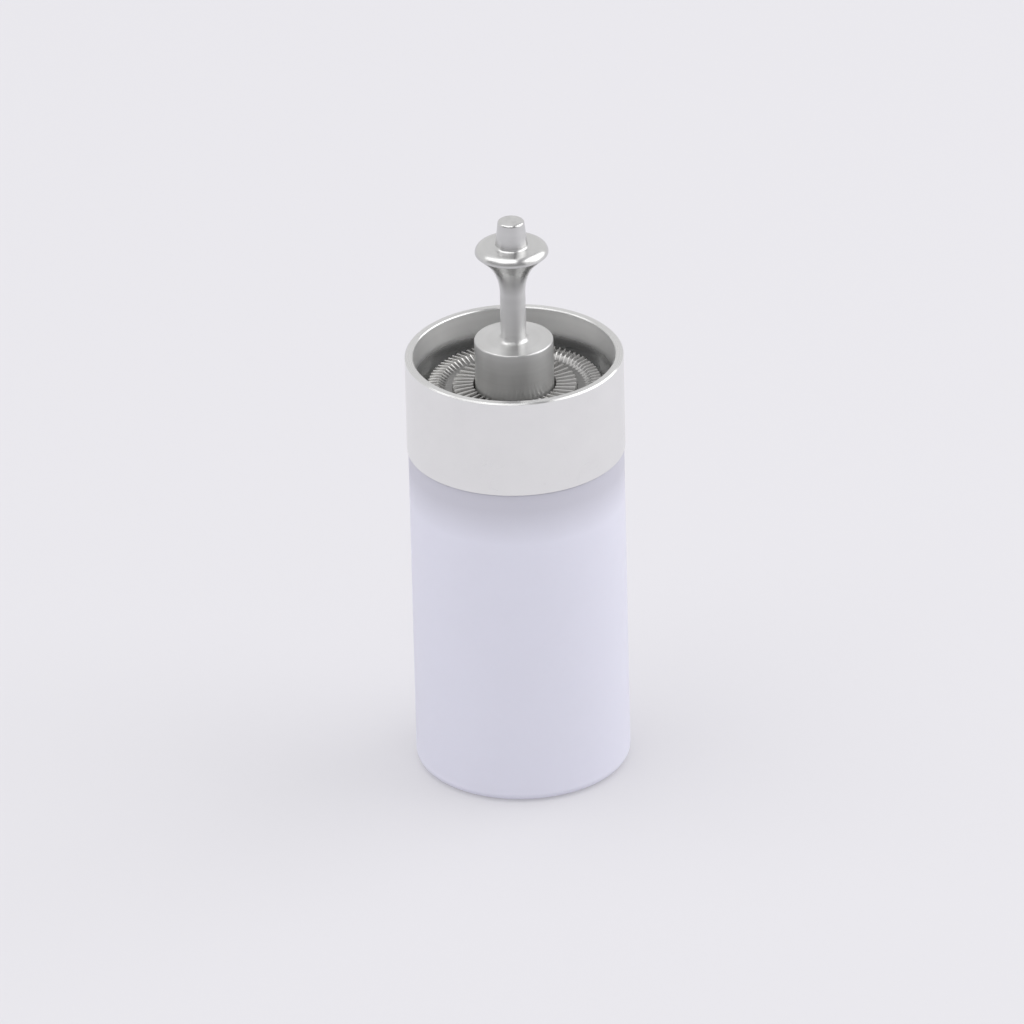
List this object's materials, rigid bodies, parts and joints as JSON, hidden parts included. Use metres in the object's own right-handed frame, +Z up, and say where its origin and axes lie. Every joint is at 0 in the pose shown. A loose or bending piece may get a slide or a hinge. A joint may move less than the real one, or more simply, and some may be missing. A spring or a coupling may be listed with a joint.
{
  "type": "hand crank coffee grinder",
  "caption": "Lower half of a flat-burr hand coffee grinder: frosted jar, screw-on metal collar, upward-facing rotating burr and turned crank spindle.",
  "frame": {"origin": "on the axis, in the plane that the jar stands on", "axes": "+Z up along the axis that the spindle, the dial and the collar's thread share; +X is any radial direction"},
  "size_m": [0.052, 0.052, 0.143],
  "materials": {
    "frosted_plastic": "frosted, translucent",
    "satin_aluminium": "satin outside, polished bore",
    "machined_aluminium": "machined",
    "polished_steel": "polished, fine turning marks",
    "burr_steel": "hardened, ground",
    "bearing_steel": "ground and polished",
    "spring_steel": "drawn wire",
    "black_oxide": "black oxide",
    "silicone": "matte"
  },
  "bodies": {
    "jar": {"jar": "frosted_plastic"},
    "seal": {"seal_ring": "silicone"},
    "head": {"collar": "satin_aluminium", "bearing_carrier": "machined_aluminium", "carrier_lock_ring": "machined_aluminium", "upper_outer_race": "bearing_steel", "lower_outer_race": "bearing_steel", "bearing_circlip": "spring_steel"},
    "upper_cage": {"upper_ball_cage": "bearing_steel"},
    "lower_cage": {"lower_ball_cage": "bearing_steel"},
    "core": {"upper_inner_race": "bearing_steel", "lower_inner_race": "bearing_steel", "race_spacer": "bearing_steel", "spring_washer": "bearing_steel", "thrust_washer": "bearing_steel", "detent_plate": "spring_steel", "lift_spring": "spring_steel"},
    "rotor": {"spindle": "polished_steel", "drive_shaft": "bearing_steel", "burr_carrier": "machined_aluminium", "lower_burr": "burr_steel", "drive_pin_1": "bearing_steel", "drive_pin_2": "bearing_steel", "burr_screw_1": "black_oxide", "burr_screw_2": "black_oxide", "burr_screw_3": "black_oxide", "stop_washer": "bearing_steel", "stop_screw": "black_oxide"},
    "dial": {"adjusting_dial": "machined_aluminium", "click_ball_1": "bearing_steel", "click_ball_2": "bearing_steel", "click_spring_1": "spring_steel", "click_spring_2": "spring_steel"}
  },
  "joints": [
    {"name": "head_lift", "type": "slide", "parent": "jar", "child": "seal", "axis": [0, 0, 1], "range_m": [0, 0.0045]},
    {"name": "head_turn", "type": "hinge", "parent": "seal", "child": "head", "pos_m": [0, 0, 0.083], "axis": [0, 0, 1], "range_deg": [0, 540]},
    {"name": "spindle_turn", "type": "hinge", "parent": "head", "child": "core", "pos_m": [0, 0, 0.0842], "axis": [0, 0, 1], "continuous": true},
    {"name": "upper_cage_turn", "type": "hinge", "parent": "head", "child": "upper_cage", "pos_m": [0, 0, 0.0867], "axis": [0, 0, 1], "continuous": true},
    {"name": "lower_cage_turn", "type": "hinge", "parent": "head", "child": "lower_cage", "pos_m": [0, 0, 0.0804], "axis": [0, 0, 1], "continuous": true},
    {"name": "dial_turn", "type": "hinge", "parent": "core", "child": "dial", "pos_m": [0, 0, 0.0719], "axis": [0, 0, -1], "range_deg": [0, 720]},
    {"name": "rotor_lift", "type": "slide", "parent": "core", "child": "rotor", "axis": [0, 0, 1], "range_m": [0, 0.0016], "deforming": ["lift_spring"]}
  ],
  "couplings": [
    {"joint": "head_turn", "follows": "head_lift", "rad_per_m": 2094.3},
    {"joint": "dial_turn", "follows": "rotor_lift", "rad_per_m": 7853.9},
    {"joint": "upper_cage_turn", "follows": "spindle_turn", "ratio": 0.4235},
    {"joint": "lower_cage_turn", "follows": "spindle_turn", "ratio": 0.4235}
  ]
}
